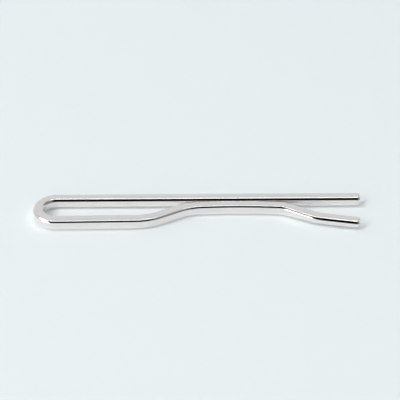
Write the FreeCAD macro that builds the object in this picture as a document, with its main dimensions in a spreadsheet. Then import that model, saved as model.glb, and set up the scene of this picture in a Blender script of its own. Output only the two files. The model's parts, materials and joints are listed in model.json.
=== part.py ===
"""Tie clip bent from one length of square wire, lying on its side.

The straight front bar shows on the tie. The spring loop turns the wire back, and the clamp arm runs
beside the bar, jogs in to the grip land, then flares out to a thinned tongue that lets the cloth in.
The wire is divided only where it flexes: front_bar, spring_loop and clamp_arm. X runs from the loop to
the tips, Y points from the clamp arm to the front bar, and Z is up from the face that the clip lies on.
The origin is the middle of the clip's length and width, at that face. Lengths are millimetres.
"""
import FreeCAD, Part
import math
import os

import Sketcher

# Driving dimensions: name, value, meaning
SIZES = (
    ("clip_length", "60", "loop's outside to the front bar's tip"),
    ("bar_width", "1.95", "wire, across the clip"),
    ("bar_height", "1.95", "wire, up from the resting face"),
    ("edge_round", "0.2", "radius along the wire's long edges"),
    ("tip_corner", "0.5", "radius of both tips' corners, seen from above"),
    ("eye_width", "4.55", "gap between the arms at the spring loop"),
    ("run_lean", "0.75", "degrees that the clamp arm's run closes on the bar"),
    ("run_length", "14.3", "clamp arm's straight run after the loop"),
    ("jog_angle", "27.7", "degrees, slope of the jog towards the bar"),
    ("jog_radius", "10.4", "both bends of the jog, at the wire's middle"),
    ("land_gap", "0.2", "grip land's crest to the front bar"),
    ("land_crown", "117", "radius of the grip land's gentle arch"),
    ("land_lead", "6.2", "grip land, from the jog to its crest"),
    ("land_tail", "8.05", "grip land, from its crest to the tongue"),
    ("flare_angle", "27", "degrees, slope of the tongue away from the bar"),
    ("flare_radius", "4.2", "bend from the grip land into the tongue"),
    ("flare_length", "4.8", "straight slope of the tongue"),
    ("tip_angle", "10.7", "degrees, slope of the tongue's last run"),
    ("tip_radius", "8.2", "bend from the slope into the last run"),
    ("tip_length", "6.5", "tongue's straight last run"),
    ("tongue_cut", "0.22", "taken off the tongue's top, and off its bottom"),
    ("thinning_length", "6.5", "stretch over which that cut deepens"),
    ("cut_overrun", "1", "how far a cut runs past the solid"),
)

# Formulas of the sizes that follow from the driving ones, in the frame of the loop's centre
LOOP_RADIUS = "(Sizes.eye_width + Sizes.bar_width) / 2"
LOOP_OUTSIDE = "Sizes.eye_width / 2 + Sizes.bar_width"
CREST = "(Sizes.eye_width - Sizes.bar_width) / 2 - Sizes.land_gap"
# Where the drawn course of the clamp arm goes, as plain numbers like the sheet's
LAND_END = "ArmCourse.Constraints.land_end / 1 mm"
ARM_END = "ArmCourse.Constraints.arm_end / 1 mm"
END_DROP = "ArmCourse.Constraints.end_drop / 1 mm"
# The rounded outer corner of the tongue's tip reaches furthest from the bar
TONGUE_REACH = (
    f"{END_DROP} + Sizes.tip_corner * (1 - sin(Sizes.tip_angle))"
    " + (Sizes.bar_width / 2 - Sizes.tip_corner) * cos(Sizes.tip_angle)"
)
# Places in the clip's own frame
LOOP_X = f"{LOOP_OUTSIDE} - Sizes.clip_length / 2"
LOOP_Y = f"(max({TONGUE_REACH}; {LOOP_OUTSIDE}) - ({LOOP_OUTSIDE})) / 2"
MID_HEIGHT = "Sizes.bar_height / 2"

START, END, CENTRE = 1, 2, 3
SKETCH_ORIGIN = (-1, START)
SKETCH_X_AXIS = -1
SEAM_TOLERANCE = 1e-6
# Cosine above which two directions count as the same, and below which as square
SAME_WAY = 0.5


def make_sheet(doc):
    """The driving dimensions, one row each, with the name as the value's alias."""
    sheet = doc.addObject("Spreadsheet::Sheet", "Sizes")
    for row, (name, value, meaning) in enumerate(SIZES, start=1):
        sheet.set(f"A{row}", meaning)
        sheet.set(f"B{row}", value)
        sheet.setAlias(f"B{row}", name)
    doc.recompute()
    return {name: sheet.get(name) for name, _, _ in SIZES}


def place(body, x, y):
    """Put the body's own origin at mid-height over a place on the resting face."""
    body.setExpression("Placement.Base.x", x)
    body.setExpression("Placement.Base.y", y)
    body.setExpression("Placement.Base.z", MID_HEIGHT)


def origin_feature(body, role):
    """One of the body's own origin planes or axes."""
    return next(item for item in body.Origin.OriginFeatures if item.Role == role)


def make_sketch(body, name, plane):
    """A sketch on one of the body's origin planes."""
    sketch = body.newObject("Sketcher::SketchObject", name)
    sketch.AttachmentSupport = [(origin_feature(body, plane), "")]
    sketch.MapMode = "FlatFace"
    return sketch


def join(sketch, kind, *places):
    """A constraint without a size, such as two ends that meet."""
    sketch.addConstraint(Sketcher.Constraint(kind, *places))


def measure(sketch, kind, places):
    """The size of a dimension as it is drawn."""
    if kind == "Radius":
        return sketch.Geometry[places[0]].Radius
    if len(places) == 1:
        line = sketch.Geometry[places[0]]
        way = line.EndPoint - line.StartPoint
        return math.atan2(way.y, way.x) if kind == "Angle" else way.Length
    way = sketch.getPoint(*places[2:]) - sketch.getPoint(*places[:2])
    return way.x if kind == "DistanceX" else way.y


def bind(sketch, kind, places, formula):
    """A dimension, added at the size that is drawn and then tied to the sheet."""
    index = sketch.addConstraint(Sketcher.Constraint(kind, *places, measure(sketch, kind, places)))
    sketch.setExpression(f"Constraints[{index}]", formula)


def report(sketch, kind, places, name):
    """A reference dimension, which follows the sketch and which other formulas read by name."""
    index = sketch.addConstraint(Sketcher.Constraint(kind, *places, measure(sketch, kind, places)))
    sketch.setDriving(index, False)
    sketch.renameConstraint(index, name)


def heading(degrees):
    """Unit vector in the sketch's plane, turned from its X axis towards its Y axis."""
    angle = math.radians(degrees)
    return FreeCAD.Vector(math.cos(angle), math.sin(angle), 0)


def left_of(degrees):
    """Unit vector square to a heading, on its left."""
    return heading(degrees + 90)


def draw_line(sketch, start, end):
    """A straight stretch: its number, and which of its ends comes first and last."""
    return sketch.addGeometry(Part.LineSegment(start, end)), START, END


def draw_bend(sketch, start, radius, first, last):
    """A round stretch that turns from one heading to another, as draw_line gives it, and where it ends."""
    side = 1 if last > first else -1
    centre = start + left_of(first) * radius * side
    end = centre - left_of(last) * radius * side
    angles = sorted(math.radians(turn - 90 * side) for turn in (first, last))
    arc = Part.ArcOfCircle(Part.Circle(centre, FreeCAD.Vector(0, 0, 1), radius), *angles)
    ends = (START, END) if side > 0 else (END, START)
    return (sketch.addGeometry(arc), *ends), end


def join_ends(sketch, kind, stretches):
    """Each stretch's last end meets the next one's first end."""
    for (one, _, last), (other, first, _) in zip(stretches, stretches[1:]):
        join(sketch, kind, one, last, other, first)


def draw_section(sketch, size, left, corner, formula):
    """The wire's square section, halved by the sketch's X axis and placed along it by one corner."""
    right, top = left + size["bar_width"], size["bar_height"] / 2
    corners = [FreeCAD.Vector(*at) for at in ((left, -top), (right, -top), (right, top), (left, top))]
    sides = [draw_line(sketch, *ends) for ends in zip(corners, corners[1:] + corners[:1])]
    join_ends(sketch, "Coincident", sides + sides[:1])
    for side, direction in enumerate(("Horizontal", "Vertical", "Horizontal")):
        join(sketch, direction, side)
    join(sketch, "Symmetric", 0, START, 2, END, SKETCH_X_AXIS)
    bind(sketch, "DistanceX", (0, START, 0, END), "Sizes.bar_width")
    bind(sketch, "DistanceY", (1, START, 1, END), "Sizes.bar_height")
    bind(sketch, "DistanceX", corner, formula)


def draw_arm_course(sketch, size):
    """The clamp arm's middle line, seen from above: run, jog, arched grip land and tongue, all tangent."""
    lean, jog = size["run_lean"], size["jog_angle"]
    flare, tip = -size["flare_angle"], -size["tip_angle"]
    bend, crown = size["jog_radius"], size["land_crown"]
    land_first = math.degrees(math.asin(size["land_lead"] / crown))
    land_last = -math.degrees(math.asin(size["land_tail"] / crown))

    start = left_of(lean) * -(size["eye_width"] + size["bar_width"]) / 2
    run_end = start + heading(lean) * size["run_length"]
    run = draw_line(sketch, start, run_end)
    jog_in, jog_start = draw_bend(sketch, run_end, bend, lean, jog)

    # The jog is as long as it takes to bring the grip land's crest up to its gap
    crest = (size["eye_width"] - size["bar_width"]) / 2 - size["land_gap"]
    bends = (left_of(land_first) - left_of(jog)) * bend + (left_of(0) - left_of(land_first)) * crown
    jog_length = (crest - jog_start.y - bends.y) / heading(jog).y
    jog_end = jog_start + heading(jog) * jog_length
    jog_line = draw_line(sketch, jog_start, jog_end)
    jog_out, land_start = draw_bend(sketch, jog_end, bend, jog, land_first)
    land, land_end = draw_bend(sketch, land_start, crown, land_first, land_last)

    flare_in, flare_start = draw_bend(sketch, land_end, size["flare_radius"], land_last, flare)
    flare_end = flare_start + heading(flare) * size["flare_length"]
    flare_line = draw_line(sketch, flare_start, flare_end)
    tip_in, tip_start = draw_bend(sketch, flare_end, size["tip_radius"], flare, tip)
    tip_line = draw_line(sketch, tip_start, tip_start + heading(tip) * size["tip_length"])

    arm = [run, jog_in, jog_line, jog_out, land, flare_in, flare_line, tip_in, tip_line]
    join_ends(sketch, "Tangent", arm)
    bind(sketch, "DistanceX", (*SKETCH_ORIGIN, run[0], START), f"{LOOP_RADIUS} * sin(Sizes.run_lean)")
    bind(sketch, "DistanceY", (run[0], START, *SKETCH_ORIGIN), f"{LOOP_RADIUS} * cos(Sizes.run_lean)")
    bind(sketch, "DistanceY", (land[0], CENTRE, *SKETCH_ORIGIN), f"Sizes.land_crown - ({CREST})")
    bind(sketch, "DistanceX", (land[0], land[1], land[0], CENTRE), "Sizes.land_lead")
    bind(sketch, "DistanceX", (land[0], CENTRE, land[0], land[2]), "Sizes.land_tail")
    for line, name in ((run, "run"), (flare_line, "flare"), (tip_line, "tip")):
        bind(sketch, "Distance", (line[0],), f"Sizes.{name}_length")
    for line, formula in (
        (run, "Sizes.run_lean"),
        (jog_line, "Sizes.jog_angle"),
        (flare_line, "-Sizes.flare_angle"),
        (tip_line, "-Sizes.tip_angle"),
    ):
        bind(sketch, "Angle", (line[0],), formula)
    for arc, formula in (
        (jog_in, "Sizes.jog_radius"),
        (jog_out, "Sizes.jog_radius"),
        (land, "Sizes.land_crown"),
        (flare_in, "Sizes.flare_radius"),
        (tip_in, "Sizes.tip_radius"),
    ):
        bind(sketch, "Radius", (arc[0],), formula)
    report(sketch, "DistanceX", (*SKETCH_ORIGIN, land[0], land[2]), "land_end")
    report(sketch, "DistanceX", (*SKETCH_ORIGIN, tip_line[0], END), "arm_end")
    report(sketch, "DistanceY", (tip_line[0], END, *SKETCH_ORIGIN), "end_drop")


def draw_thinning(sketch, size, land_end, arm_end):
    """What comes off the tongue's top, seen from the side: two equal arcs, then level to the tip."""
    top, cut, length = size["bar_height"] / 2, size["tongue_cut"], size["thinning_length"]
    radius = (length ** 2 + cut ** 2) / (4 * cut)
    slope = -math.degrees(math.asin(length / (2 * radius)))
    start = FreeCAD.Vector(land_end, top)
    over, middle = draw_bend(sketch, start, radius, 0, slope)
    under, cut_start = draw_bend(sketch, middle, radius, slope, 0)
    far, above = arm_end + size["cut_overrun"], top + size["cut_overrun"]
    outline = ((far, top - cut), (far, above), (land_end, above), (land_end, top))
    corners = [cut_start] + [FreeCAD.Vector(*at) for at in outline]
    lines = [draw_line(sketch, *ends) for ends in zip(corners, corners[1:])]

    join_ends(sketch, "Tangent", [over, under])
    join_ends(sketch, "Coincident", [under, *lines, over])
    for number, (line, _, _) in enumerate(lines):
        join(sketch, "Vertical" if number % 2 else "Horizontal", line)
    join(sketch, "Vertical", over[0], over[1], over[0], CENTRE)
    join(sketch, "Vertical", under[0], under[2], under[0], CENTRE)
    join(sketch, "Equal", over[0], under[0])
    level, end_wall = lines[0][0], lines[1][0]
    bind(sketch, "DistanceX", (*SKETCH_ORIGIN, over[0], over[1]), LAND_END)
    bind(sketch, "DistanceY", (*SKETCH_ORIGIN, over[0], over[1]), MID_HEIGHT)
    bind(sketch, "DistanceX", (over[0], over[1], level, START), "Sizes.thinning_length")
    bind(sketch, "DistanceY", (level, START, over[0], over[1]), "Sizes.tongue_cut")
    bind(sketch, "DistanceX", (*SKETCH_ORIGIN, level, END), f"{ARM_END} + Sizes.cut_overrun")
    bind(sketch, "DistanceY", (end_wall, START, end_wall, END), "Sizes.tongue_cut + Sizes.cut_overrun")


def normals_beside(edge, shape):
    """The outward normals of the faces that share an edge, at the edge's middle."""
    at = edge.valueAt((edge.FirstParameter + edge.LastParameter) / 2)
    faces = shape.ancestorsOfType(edge, Part.Face)
    return [face.normalAt(*face.Surface.parameter(at)) for face in faces]


def is_tip_corner(one, other):
    """Two walls that meet square, not the seam of two tangent walls."""
    return max(abs(one.z), abs(other.z), abs(one.dot(other))) < SAME_WAY


def is_long_edge(one, other):
    """The top or bottom face meeting a wall."""
    return min(abs(one.z), abs(other.z)) < SAME_WAY < max(abs(one.z), abs(other.z))


def soften(doc, body, name, radius, is_wanted, seams):
    """Round the body's edges of one kind, but not where it meets the next piece of the wire.

    Seams are the headings that the meeting planes stand square to, all through the body's origin.
    """
    doc.recompute()
    base = body.Tip
    picked = []
    for number, edge in enumerate(base.Shape.Edges, start=1):
        at = edge.valueAt((edge.FirstParameter + edge.LastParameter) / 2)
        at_seam = any(abs(at.dot(heading(seam))) < SEAM_TOLERANCE for seam in seams)
        if not at_seam and is_wanted(*normals_beside(edge, base.Shape)):
            picked.append(f"Edge{number}")
    fillet = body.newObject("PartDesign::Fillet", name)
    fillet.Base = (base, picked)
    fillet.setExpression("Radius", radius)


def make_clamp_arm(doc, size):
    """Sprung arm: run, jog, grip land and thinned tongue, with its own origin at the loop's centre."""
    body = doc.addObject("PartDesign::Body", "clamp_arm")
    course = make_sketch(body, "ArmCourse", "XY_Plane")
    draw_arm_course(course, size)
    section = make_sketch(body, "ArmSection", "YZ_Plane")
    upright = FreeCAD.Vector(0, 1, 0)
    section.AttachmentOffset = FreeCAD.Placement(FreeCAD.Vector(), upright, size["run_lean"])
    section.setExpression("AttachmentOffset.Rotation.Angle", "Sizes.run_lean")
    outer = -size["eye_width"] / 2 - size["bar_width"]
    draw_section(section, size, outer, (0, END, *SKETCH_ORIGIN), "Sizes.eye_width / 2")
    place(body, LOOP_X, LOOP_Y)
    doc.recompute()
    sweep = body.newObject("PartDesign::AdditivePipe", "ArmSweep")
    sweep.Profile = section
    sweep.Spine = (course, [f"Edge{number + 1}" for number in range(course.GeometryCount)])

    doc.recompute()
    side = make_sketch(body, "TongueThinning", "XZ_Plane")
    draw_thinning(side, size, course.getDatum("land_end").Value, course.getDatum("arm_end").Value)
    cut = body.newObject("PartDesign::Pocket", "TongueTopCut")
    cut.Profile = side
    cut.Type = "ThroughAll"
    cut.SideType = "Symmetric"
    both = body.newObject("PartDesign::Mirrored", "TongueBothCuts")
    both.Originals = [cut]
    both.MirrorPlane = (origin_feature(body, "XY_Plane"), [""])
    body.Tip = both
    doc.recompute()
    if not both.Shape.Volume < cut.Shape.Volume < sweep.Shape.Volume:
        raise RuntimeError("the tongue isn't thinned on both faces")

    soften(doc, body, "ArmTipCorners", "Sizes.tip_corner", is_tip_corner, [size["run_lean"]])
    soften(doc, body, "ArmLongEdges", "Sizes.edge_round", is_long_edge, [size["run_lean"]])
    return body


def make_spring_loop(doc, size):
    """Half turn of wire about the loop's centre, and the little more that leans the clamp arm in."""
    body = doc.addObject("PartDesign::Body", "spring_loop")
    section = make_sketch(body, "LoopSection", "YZ_Plane")
    draw_section(section, size, size["eye_width"] / 2, (*SKETCH_ORIGIN, 0, START), "Sizes.eye_width / 2")
    turn = body.newObject("PartDesign::Revolution", "LoopTurn")
    turn.Profile = section
    turn.ReferenceAxis = (origin_feature(body, "Z_Axis"), [""])
    turn.setExpression("Angle", "180 + Sizes.run_lean")
    place(body, LOOP_X, LOOP_Y)
    soften(doc, body, "LoopLongEdges", "Sizes.edge_round", is_long_edge, [0, size["run_lean"]])
    return body


def make_front_bar(doc, size):
    """Straight length of wire from the loop to the tip that shows."""
    body = doc.addObject("PartDesign::Body", "front_bar")
    section = make_sketch(body, "BarSection", "YZ_Plane")
    draw_section(section, size, size["eye_width"] / 2, (*SKETCH_ORIGIN, 0, START), "Sizes.eye_width / 2")
    pad = body.newObject("PartDesign::Pad", "BarLength")
    pad.Profile = section
    pad.setExpression("Length", f"Sizes.clip_length - ({LOOP_OUTSIDE})")
    place(body, LOOP_X, LOOP_Y)
    soften(doc, body, "BarTipCorners", "Sizes.tip_corner", is_tip_corner, [0])
    soften(doc, body, "BarLongEdges", "Sizes.edge_round", is_long_edge, [0])
    return body


def check(doc, pieces):
    """Stop on a failed object, a loose sketch or a bad solid, before any file is written."""
    failed = [item.Label for item in doc.Objects if {"Invalid", "Error"} & set(item.State)]
    sketches = doc.findObjects("Sketcher::SketchObject")
    loose = [sketch.Label for sketch in sketches if not sketch.FullyConstrained]
    bad = [body.Label for body in pieces if body.Shape.isNull() or not body.Shape.isValid()]
    if failed or loose or bad:
        raise RuntimeError(f"failed {failed}, loose sketches {loose}, bad solids {bad}")


def main():
    """Build the three pieces of the wire, check them and write each to its own file."""
    doc = FreeCAD.newDocument("tie_clip")
    size = make_sheet(doc)
    pieces = [make(doc, size) for make in (make_clamp_arm, make_spring_loop, make_front_bar)]
    doc.recompute()
    check(doc, pieces)
    os.makedirs("parts", exist_ok=True)
    for body in pieces:
        body.Shape.exportStep(f"parts/{body.Label}.step")
        box = body.Shape.optimalBoundingBox(False, False)
        print(f"{body.Label}: {body.Shape.Volume:.2f} mm3, X {box.XMin:.3f} to {box.XMax:.3f},"
              f" Y {box.YMin:.3f} to {box.YMax:.3f}, Z {box.ZMin:.3f} to {box.ZMax:.3f}")


main()
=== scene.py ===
"""Looks of the tie clip: one length of square wire, bent and mirror polished, lying on a pale table.

The wire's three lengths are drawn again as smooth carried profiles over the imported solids: the front bar,
the spring loop that bends as the clip opens, and the clamp arm with its jog, grip land and tongue. Sizes
are millimetres until a mesh, a lamp or the camera is made, and X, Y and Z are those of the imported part.
"""
import json
import math

import bpy
import numpy as np
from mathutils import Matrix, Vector


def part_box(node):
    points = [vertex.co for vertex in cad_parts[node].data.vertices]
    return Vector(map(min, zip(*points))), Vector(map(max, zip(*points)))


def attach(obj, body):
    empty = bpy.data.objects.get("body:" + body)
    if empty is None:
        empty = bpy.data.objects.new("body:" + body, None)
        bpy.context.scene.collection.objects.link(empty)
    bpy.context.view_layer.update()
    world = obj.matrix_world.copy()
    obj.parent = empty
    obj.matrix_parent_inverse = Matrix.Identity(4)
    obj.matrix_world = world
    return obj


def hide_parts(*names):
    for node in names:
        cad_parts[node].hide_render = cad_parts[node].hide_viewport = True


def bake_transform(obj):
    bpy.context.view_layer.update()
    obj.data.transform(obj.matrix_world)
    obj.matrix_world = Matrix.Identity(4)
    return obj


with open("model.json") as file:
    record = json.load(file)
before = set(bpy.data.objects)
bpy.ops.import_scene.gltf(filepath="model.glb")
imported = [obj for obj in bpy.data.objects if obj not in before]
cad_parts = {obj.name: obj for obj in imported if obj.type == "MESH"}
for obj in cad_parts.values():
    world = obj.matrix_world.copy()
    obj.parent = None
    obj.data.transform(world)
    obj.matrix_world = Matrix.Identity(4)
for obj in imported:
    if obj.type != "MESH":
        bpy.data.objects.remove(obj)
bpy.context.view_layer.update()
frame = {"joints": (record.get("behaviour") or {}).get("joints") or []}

MM = 0.001

# The wire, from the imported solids
bar_low, bar_high = (np.array(corner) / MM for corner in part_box("front_bar"))
_, arm_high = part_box("clamp_arm")
loop_centre = np.array(frame["joints"][0]["pos_m"]) / MM
half_width = (bar_high[1] - bar_low[1]) / 2
half_height = (bar_high[2] - bar_low[2]) / 2
bar_length = bar_high[0] - loop_centre[0]
loop_radius = bar_high[1] - half_width - loop_centre[1]
# The grip land's crest is the arm's furthest reach towards the bar
land_crest = arm_high.y / MM - half_width

# The clamp arm's course, bent as the solid is: degrees for slopes, radii at the wire's middle
run_lean = 0.75
run_length = 14.3
jog_slope = 27.7
jog_radius = 10.4
land_crown = 117.0
land_lead = 6.2
land_tail = 8.05
flare_slope = 27.0
flare_radius = 4.2
flare_length = 4.8
tip_slope = 10.7
tip_radius = 8.2
tip_length = 6.5
tongue_cut = 0.22
thinning_length = 6.5

# How high filing and buffing leave the long edges: less on the arm, and at the back only a share
bar_edge = 0.48
arm_edge = 0.33
tongue_edge = 0.47
back_share = 0.3
# The file's slope in degrees, how much it flattens an edge there, and over how many degrees
edge_slope = 40.0
edge_flat = 12.0
edge_spread = 8.0
# The tips' corners, seen from above, and the slight crown of every face
tip_corner = 0.56
face_crown = 0.006

# How finely the surfaces are drawn
step_length = 0.4
step_turn = 1.5
edge_steps = 14
slope_steps = 1440
corner_steps = 10
wall_shares = np.array([0.92, 0.5, 0.0, -0.5, -0.92])
flat_shares = np.array([0.04, 0.25, 0.5, 0.75, 0.96])

# The silver's two tints, and the hairlines and clouds that the buffing wheel leaves
silver_low = "EBE6E4"
silver_high = "F3EEED"
hairline_width = 0.1
hairline_length = 8.333
hairline_depth = 0.01
hairline_relief = 0.03
hairline_detail = 3.0
cloud_size = 2.857
cloud_detail = 2.0
# The noise mostly keeps to this range, and the roughness goes from low to high over it
noise_low = 0.3
noise_high = 0.7
roughness_low = 0.03
roughness_high = 0.09

# The photograph's camera, the table and the softbox
camera_lens = 135.0
camera_near = 1.0
camera_aim = Vector((0.47, 4.97, 0.0))
camera_distance = 278.6
camera_elevation = 37.16
camera_azimuth = -0.54
table_size = 6000.0
table_colour = "ECF0F2"
table_roughness = 0.65
key_distance = 900.0
key_width = 520.0
key_height = 320.0
key_elevation = 36.0
key_azimuth = -57.0
key_level = 4.1
key_colour = "FFFAF4"

# The studio's walls, from the front level to the back one between two angles of rise
studio_colour = "F8FDFE"
front_level = 0.9
front_to = 60
back_level = 0.77
back_from = 110

# What stands before the walls: its level, then its soft edges in degrees, as the angle that an edge is
# measured by, where the thing is gone and where it shows fully
strip_level = 7.0
strip_ends = (("side", -52, -46), ("side", 20, 14))
studio_things = {
    "dim right side": (0.28, ("side", 5, 37), ("height", 20, 34)),
    "dark room in front": (0.01, ("rise", 40, 46), ("rise", 82, 76), ("side", -30, -24), ("side", 38, 14)),
    "dim screen behind": (0.25, ("rise", 103, 109), ("rise", 132, 126), ("side", -46, -40), ("side", 44, 38)),
    "strip light before the zenith": (strip_level, ("rise", 82, 85), ("rise", 88, 85), *strip_ends),
    "strip light behind the zenith": (strip_level, ("rise", 94, 97), ("rise", 104, 101), *strip_ends),
}


def linear(code):
    """An sRGB colour, written as six hex digits, as the linear colour that Blender's sockets take."""
    share = np.array([int(code[at:at + 2], 16) for at in (0, 2, 4)]) / 255
    low, high = share / 12.92, ((share + 0.055) / 1.055) ** 2.4
    return (*np.where(share <= 0.04045, low, high).tolist(), 1.0)


def add_node(tree, kind, settings=None, **inputs):
    """Add a node, set its own properties, and give each named input a value or link it to a socket.

    An input is named by its label with spaces as underscores, or by its number as in_0, in_1 and so on.
    """
    node = tree.nodes.new(kind)
    for name, value in (settings or {}).items():
        setattr(node, name, value)
    for name, value in inputs.items():
        number = name.removeprefix("in_")
        socket = node.inputs[int(number)] if number.isdigit() else node.inputs[name.replace("_", " ")]
        if isinstance(value, bpy.types.NodeSocket):
            tree.links.new(value, socket)
        else:
            socket.default_value = value
    return node


def smoothstep(share):
    """0 to 1 with level ends, as 3t squared less 2t cubed, for t held between 0 and 1."""
    held = np.clip(share, 0, 1)
    return held * held * (3 - 2 * held)


def walk(start, heading, stretches):
    """The middle line of bent wire: distance, place and heading, from stretches of (length, turn).

    The heading turns evenly along each stretch. From one station to the next the place moves along the
    mean heading by the chord, which is the step times the sine of half the turn over half the turn.
    """
    steps = [
        max(1, math.ceil(max(length / step_length, abs(turn) / step_turn)))
        for length, turn in stretches
    ]
    ahead = np.concatenate([np.full(n, length / n) for n, (length, _) in zip(steps, stretches)])
    turn = np.radians(np.concatenate([np.full(n, angle / n) for n, (_, angle) in zip(steps, stretches)]))
    mean = math.radians(heading) + np.cumsum(turn) - turn / 2
    chord = ahead * np.sinc(turn / 2 / np.pi)
    moved = np.cumsum(np.stack([np.cos(mean), np.sin(mean)], 1) * chord[:, None], 0)
    distance = np.concatenate([[0], np.cumsum(ahead)])
    place = np.array(start) + np.concatenate([np.zeros((1, 2)), moved])
    return distance, place, math.radians(heading) + np.concatenate([[0], np.cumsum(turn)])


def round_tip(distance, place, heading):
    """Give a course a tip with rounded corners, and the plan angle of each station's two flanks.

    The course is cut off one corner radius before its end. There follow stations at the sine of the
    angle times that radius, where both flanks have turned that angle from sideways to straight ahead.
    """
    start = distance[-1] - tip_corner
    kept = distance < start
    angle = np.linspace(0, np.pi / 2, corner_steps + 1)
    further = start + tip_corner * np.sin(angle)
    ahead = np.array([np.cos(heading[-1]), np.sin(heading[-1])])
    added = place[-1] - (distance[-1] - further)[:, None] * ahead
    plan_angle = np.concatenate([np.zeros(kept.sum()), angle])
    return (
        np.concatenate([distance[kept], further]),
        np.concatenate([place[kept], added]),
        np.concatenate([heading[kept], np.full(len(angle), heading[-1])]),
        plan_angle,
    )


def eased_edge():
    """A filed and buffed edge of unit height, from the top face down to the wall: its way in, its height.

    As the slope grows from level to upright, the radius is 1 plus a bell curve round the file's slope, so
    the edge is nearly flat there and round at both sides. From the wall upward, the radius times the
    slope's sine adds up to the height, and times its cosine to the way in.
    """
    slope = np.linspace(90, 0, slope_steps + 1)
    radius = 1 + edge_flat * np.exp(-((slope - edge_slope) / edge_spread) ** 2)
    height = np.cumsum(radius * np.sin(np.radians(slope)))
    inward = np.cumsum(radius * np.cos(np.radians(slope)))
    drawn = np.linspace(0, 90, edge_steps + 1)
    inward = np.interp(drawn, slope[::-1], inward[::-1] / height[-1])
    return inward, np.interp(drawn, slope[::-1], height[::-1] / height[-1])


def carry_profile(place, heading, plan_angle, height, edge, far_share):
    """Rings of a square profile with eased edges, one at each station of a course.

    Each flank is a C: an eased edge down from the top face, a wall, and an eased edge to the bottom. The
    edges keep their height where the flank faces the front, and ease to the far share of it where it faces
    the back. The top and bottom rows join the two flanks, and every face is crowned by a shallow parabola.
    """
    inward, upward = eased_edge()
    plain = np.zeros(len(wall_shares))
    share = np.concatenate([np.ones(len(upward)), wall_shares, -np.ones(len(upward))])
    ahead = np.stack([np.cos(heading), np.sin(heading)], 1)
    left = np.stack([-ahead[:, 1], ahead[:, 0]], 1)
    narrowed = half_width - tip_corner * (1 - np.cos(plan_angle))
    flanks = []
    for side in (1, -1):
        outward = side * left * np.cos(plan_angle)[:, None] + ahead * np.sin(plan_angle)[:, None]
        at = place + side * left * narrowed[:, None]
        far = smoothstep((1 + outward[:, 1]) / 2)
        eased = (edge * (1 - far + far * far_share))[:, None]
        inset = eased * np.concatenate([inward, plain, inward[::-1]]) + face_crown * share ** 2
        level = ((height - face_crown)[:, None] - eased) * share
        level = level + eased * np.concatenate([upward, plain, -upward[::-1]])
        flat = at[:, None] - inset[..., None] * outward[:, None]
        flanks.append(np.concatenate([flat, level[..., None]], 2))
    port, starboard = flanks
    crown = face_crown * (1 - (2 * flat_shares - 1) ** 2)
    lift = np.stack([np.zeros_like(crown), np.zeros_like(crown), crown], 1)
    across = starboard[:, :, None] - port[:, :, None]
    rows = port[:, :, None] + across * flat_shares[:, None]
    bottom = rows[:, -1] - lift
    top = (rows[:, 0] + lift)[:, ::-1]
    return np.concatenate([port, bottom, starboard[:, ::-1], top], 1)


def close_tip(ring, first):
    """The end wall of a tip: rows from the last ring's one flank to the other, new points only inside.

    Takes the last ring's points and the number of its first point, and gives the new points and the
    grid of point numbers whose border is the ring.
    """
    rows, columns = 2 * edge_steps + 2 + len(wall_shares), len(flat_shares)
    numbers = first + np.arange(len(ring))
    port, bottom = numbers[:rows], numbers[rows:rows + columns]
    starboard, top = numbers[rows + columns:2 * rows + columns][::-1], numbers[2 * rows + columns:][::-1]
    one, other = ring[:rows][1:-1], ring[rows + columns:2 * rows + columns][::-1][1:-1]
    inside = one[:, None] + (other - one)[:, None] * flat_shares[:, None]
    added = first + len(ring) + np.arange(inside.shape[0] * columns).reshape(-1, columns)
    middle = np.concatenate([top[None], added, bottom[None]])
    grid = np.concatenate([port[:, None], middle, starboard[:, None]], 1)
    return inside.reshape(-1, 3), grid


def quads(grid):
    """Four corners of each cell of a grid of point numbers, taken round the cell."""
    return np.stack([grid[:-1, :-1], grid[1:, :-1], grid[1:, 1:], grid[:-1, 1:]], -1).reshape(-1, 4)


def make_wire(name, course, origin, height, edge, plan_angle=None, far_share=back_share):
    """One length of the wire as a closed mesh: carried rings, flat ends where it meets the next length.

    With plan angles its far end is a rounded tip. The point attribute wire_mm holds the unbent wire's own
    coordinates, which are the distance along it, across it and up.
    """
    distance, place, heading = course
    tip = plan_angle is not None
    turned = plan_angle if tip else np.zeros(len(distance))
    rings = carry_profile(place, heading, turned, height, edge, far_share)
    count, around = rings.shape[:2]
    points = rings.reshape(-1, 3)
    numbers = np.arange(len(points)).reshape(count, around)
    walls = quads(np.concatenate([numbers, numbers[:, :1]], 1))
    ends = [numbers[0].tolist()]
    along = np.repeat(distance, around)
    if tip:
        inside, grid = close_tip(rings[-1], numbers[-1, 0])
        points = np.concatenate([points, inside])
        walls = np.concatenate([walls, quads(grid.T)])
        along = np.concatenate([along, np.full(len(inside), distance[-1])])
    else:
        ends.append(numbers[-1, ::-1].tolist())
    station = np.clip(np.searchsorted(distance, along), 0, count - 1)
    offset = points[:, :2] - place[station]
    across = np.sum(offset * np.stack([-np.sin(heading), np.cos(heading)], 1)[station], 1)
    wire_mm = np.stack([origin + along, across, points[:, 2]], 1)

    mesh = bpy.data.meshes.new(name)
    lifted = (points + np.array([0, 0, half_height])) * MM
    mesh.from_pydata(lifted.tolist(), [], walls.tolist() + ends)
    mesh.polygons.foreach_set("use_smooth", np.ones(len(mesh.polygons), bool))
    pairs = np.empty(2 * len(mesh.edges), int)
    mesh.edges.foreach_get("vertices", pairs)
    rims = [np.isin(pairs.reshape(-1, 2), end).all(1) for end in ends]
    mesh.attributes.new("sharp_edge", "BOOLEAN", "EDGE").data.foreach_set("value", np.any(rims, 0))
    mesh.attributes.new("wire_mm", "FLOAT_VECTOR", "POINT").data.foreach_set("vector", wire_mm.ravel())
    mesh.update()
    piece = bpy.data.objects.new(name, mesh)
    bpy.context.scene.collection.objects.link(piece)
    return piece


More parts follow.
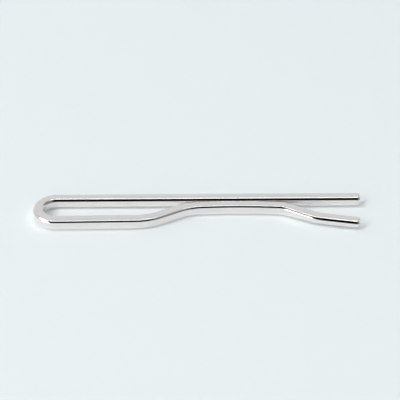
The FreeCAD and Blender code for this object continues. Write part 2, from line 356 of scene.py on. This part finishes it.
def make_bar():
    """Straight length from the loop to the tip that shows on the tie."""
    course = walk((loop_centre[0], loop_centre[1] + loop_radius), 0, [(bar_length, 0)])
    *course, plan_angle = round_tip(*course)
    height = np.full(len(plan_angle), half_height)
    return make_wire("polished_bar", course, 0, height, np.full(len(plan_angle), bar_edge), plan_angle)


def make_loop():
    """Half turn of wire, and the lean of the arm, with the edges easing from the bar's to the arm's."""
    turn = 180 + run_lean
    start = (loop_centre[0], loop_centre[1] + loop_radius)
    course = walk(start, 180, [(loop_radius * math.radians(turn), turn)])
    share = smoothstep(course[0] / course[0][-1])
    height = np.full(len(share), half_height)
    return make_wire("polished_loop", course, bar_length, height, bar_edge + (arm_edge - bar_edge) * share)


def arc(radius, first, last):
    """A bend from one slope to another as (length, turn), in degrees."""
    return radius * math.radians(abs(last - first)), last - first


def climb(radius, first, last):
    """How far a bend from one slope to another rises: the radius times the change of the cosine."""
    change = math.cos(math.radians(first)) - math.cos(math.radians(last))
    return radius * math.copysign(1, last - first) * change


def make_arm():
    """Run, jog, arched grip land and thinned tongue. The jog is as long as brings the land's crest home.

    The tongue thins and its edges grow by smooth steps. On the grip land the far edges are as round as the
    near ones, and they ease to the crisper far edges over the jog and the flare.
    """
    lean = math.radians(run_lean)
    start = loop_centre[:2] + loop_radius * np.array([math.sin(lean), -math.cos(lean)])
    land_first = math.degrees(math.asin(land_lead / land_crown))
    land_last = -math.degrees(math.asin(land_tail / land_crown))
    rise = land_crest - start[1] - run_length * math.sin(lean) - climb(jog_radius, run_lean, jog_slope)
    rise -= climb(jog_radius, jog_slope, land_first) + climb(land_crown, land_first, 0)
    stretches = [
        (run_length, 0),
        arc(jog_radius, run_lean, jog_slope),
        (rise / math.sin(math.radians(jog_slope)), 0),
        arc(jog_radius, jog_slope, land_first),
        arc(land_crown, land_first, land_last),
        arc(flare_radius, land_last, -flare_slope),
        (flare_length, 0),
        arc(tip_radius, -flare_slope, -tip_slope),
        (tip_length, 0),
    ]
    *course, plan_angle = round_tip(*walk(start, run_lean, stretches))
    distance, place, _ = course
    reach = np.cumsum([length for length, _ in stretches])
    _, jog_start, _, land_start, land_end, _, flare_end, last_start, _ = reach
    land_end_x = np.interp(land_end, distance, place[:, 0])
    height = half_height - tongue_cut * smoothstep((place[:, 0] - land_end_x) / thinning_length)
    on_tongue = smoothstep((distance - flare_end) / (last_start - flare_end))
    on_land = smoothstep((distance - jog_start) / (land_start - jog_start))
    on_land = on_land * smoothstep((flare_end - distance) / (flare_end - land_end))
    edge = arm_edge + (tongue_edge - arm_edge) * on_tongue
    far_share = back_share + (1 - back_share) * on_land
    origin = bar_length + loop_radius * math.radians(180 + run_lean)
    return make_wire("polished_arm", course, origin, height, edge, plan_angle, far_share)


def polished_silver():
    """Sterling silver, rhodium plated and buffed to a mirror: pale, faintly warm, sharp reflections.

    The buffing wheel leaves hairlines along the wire and faint clouds where the polish is less even. Real
    hairlines are about 0.01 mm wide. They are drawn ten times as wide, so that they show.
    """
    material = bpy.data.materials.new("rhodium_plated_silver_buffed")
    material.use_nodes = True
    tree = material.node_tree
    shader = tree.nodes["Principled BSDF"]
    wire = add_node(tree, "ShaderNodeAttribute", {"attribute_name": "wire_mm"}).outputs["Vector"]
    per_mm = (1 / hairline_length, 1 / hairline_width, 1 / hairline_width)
    drawn_out = add_node(tree, "ShaderNodeMapping", Vector=wire, Scale=per_mm).outputs[0]
    hairlines = add_node(
        tree, "ShaderNodeTexNoise", Vector=drawn_out, Scale=1.0, Detail=hairline_detail,
    ).outputs[0]
    clouds = add_node(
        tree, "ShaderNodeTexNoise", Vector=wire, Scale=1 / cloud_size, Detail=cloud_detail,
    ).outputs[0]
    tint = add_node(
        tree, "ShaderNodeMix", {"data_type": "RGBA"},
        Factor=clouds, in_6=linear(silver_low), in_7=linear(silver_high),
    ).outputs[2]
    rough = add_node(
        tree, "ShaderNodeMapRange", Value=hairlines, From_Min=noise_low, From_Max=noise_high,
        To_Min=roughness_low, To_Max=roughness_high,
    ).outputs[0]
    bump = add_node(
        tree, "ShaderNodeBump", Strength=hairline_relief, Distance=hairline_depth * MM, Height=hairlines,
    ).outputs[0]
    tree.links.new(tint, shader.inputs["Base Color"])
    tree.links.new(rough, shader.inputs["Roughness"])
    tree.links.new(bump, shader.inputs["Normal"])
    shader.inputs["Metallic"].default_value = 1.0
    return material


def table_sheet():
    """Cast acrylic sheet, pale blue-grey, finely blasted: matt, with no sharp reflection."""
    material = bpy.data.materials.new("pale_acrylic_blasted")
    material.use_nodes = True
    shader = material.node_tree.nodes["Principled BSDF"]
    shader.inputs["Base Color"].default_value = linear(table_colour)
    shader.inputs["Roughness"].default_value = table_roughness
    half = table_size * MM / 2
    corners = [(-half, -half, 0), (half, -half, 0), (half, half, 0), (-half, half, 0)]
    mesh = bpy.data.meshes.new("table")
    mesh.from_pydata(corners, [], [(0, 1, 2, 3)])
    mesh.materials.append(material)
    table = bpy.data.objects.new("table", mesh)
    bpy.context.scene.collection.objects.link(table)


def studio_surroundings():
    """Pale walls all round, and before them a dim side, a dark room, a dim screen and two strip lights.

    A direction has three angles. Rise is the arctangent of its Z over its way to the front, and so goes
    from the front horizon over the zenith to the back one. Side is the arcsine of its X, and height that
    of its Z. A thing shows by the product of its soft edges, and covers what was there before it.
    """
    world = bpy.data.worlds.new("studio")
    bpy.context.scene.world = world
    world.use_nodes = True
    tree = world.node_tree
    background = tree.nodes["Background"]
    direction = add_node(tree, "ShaderNodeTexCoord").outputs["Generated"]
    x, y, z = add_node(tree, "ShaderNodeSeparateXYZ", Vector=direction).outputs
    front = add_node(tree, "ShaderNodeMath", {"operation": "MULTIPLY"}, in_0=y, in_1=-1.0).outputs[0]
    angles = {
        "rise": add_node(tree, "ShaderNodeMath", {"operation": "ARCTAN2"}, in_0=z, in_1=front).outputs[0],
        "side": add_node(tree, "ShaderNodeMath", {"operation": "ARCSINE"}, in_0=x).outputs[0],
        "height": add_node(tree, "ShaderNodeMath", {"operation": "ARCSINE"}, in_0=z).outputs[0],
    }
    smooth = {"interpolation_type": "SMOOTHSTEP"}
    level = add_node(
        tree, "ShaderNodeMapRange", smooth, Value=angles["rise"],
        From_Min=math.radians(front_to), From_Max=math.radians(back_from),
        To_Min=front_level, To_Max=back_level,
    ).outputs[0]
    for shown, *edges in studio_things.values():
        share = 1.0
        for angle, gone, full in edges:
            edge = add_node(
                tree, "ShaderNodeMapRange", smooth, Value=angles[angle],
                From_Min=math.radians(gone), From_Max=math.radians(full),
            ).outputs[0]
            share = add_node(
                tree, "ShaderNodeMath", {"operation": "MULTIPLY"}, in_0=share, in_1=edge,
            ).outputs[0]
        level = add_node(
            tree, "ShaderNodeMix", {"data_type": "FLOAT"}, Factor=share, in_2=level, in_3=shown,
        ).outputs[0]
    background.inputs["Color"].default_value = linear(studio_colour)
    tree.links.new(level, background.inputs["Strength"])


def away(azimuth, elevation):
    """Unit vector from the clip towards a place round it: azimuth 0 is in front, positive to the right."""
    side, up = math.radians(azimuth), math.radians(elevation)
    return Vector((math.sin(side) * math.cos(up), -math.cos(side) * math.cos(up), math.sin(up)))


def key_softbox():
    """Wide softbox in front on the left, whose light the bent faces throw down on the table.

    Its power is its level times pi times its area.
    """
    lamp = bpy.data.lights.new("key_softbox", "AREA")
    lamp.shape = "RECTANGLE"
    lamp.size = key_width * MM
    lamp.size_y = key_height * MM
    lamp.energy = key_level * math.pi * lamp.size * lamp.size_y
    lamp.color = linear(key_colour)[:3]
    box = bpy.data.objects.new("key_softbox", lamp)
    toward = away(key_azimuth, key_elevation)
    box.location = toward * key_distance * MM
    box.rotation_euler = toward.to_track_quat("Z", "Y").to_euler()
    bpy.context.scene.collection.objects.link(box)


def photo_camera():
    """A long lens at the photograph's angle, aimed at the table behind the clip's middle."""
    camera = bpy.data.cameras.new("camera")
    camera.lens = camera_lens
    camera.clip_start = camera_near * MM
    holder = bpy.data.objects.new("camera", camera)
    toward = away(camera_azimuth, camera_elevation)
    holder.location = (camera_aim + toward * camera_distance) * MM
    holder.rotation_euler = toward.to_track_quat("Z", "Y").to_euler()
    bpy.context.scene.collection.objects.link(holder)
    bpy.context.scene.camera = holder


silver = polished_silver()
bar, loop, arm = make_bar(), make_loop(), make_arm()
for piece, node in ((bar, "front_bar"), (loop, "spring_loop"), (arm, "clamp_arm")):
    piece.data.materials.append(silver)
    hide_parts(node)
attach(bar, "front_bar")
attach(arm, "clamp_arm")
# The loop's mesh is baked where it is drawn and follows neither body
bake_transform(loop)

table_sheet()
studio_surroundings()
key_softbox()
photo_camera()
bpy.context.scene.view_settings.view_transform = "Standard"
# The light that polished faces throw on the table keeps its outline
bpy.context.scene.cycles.blur_glossy = 0.0
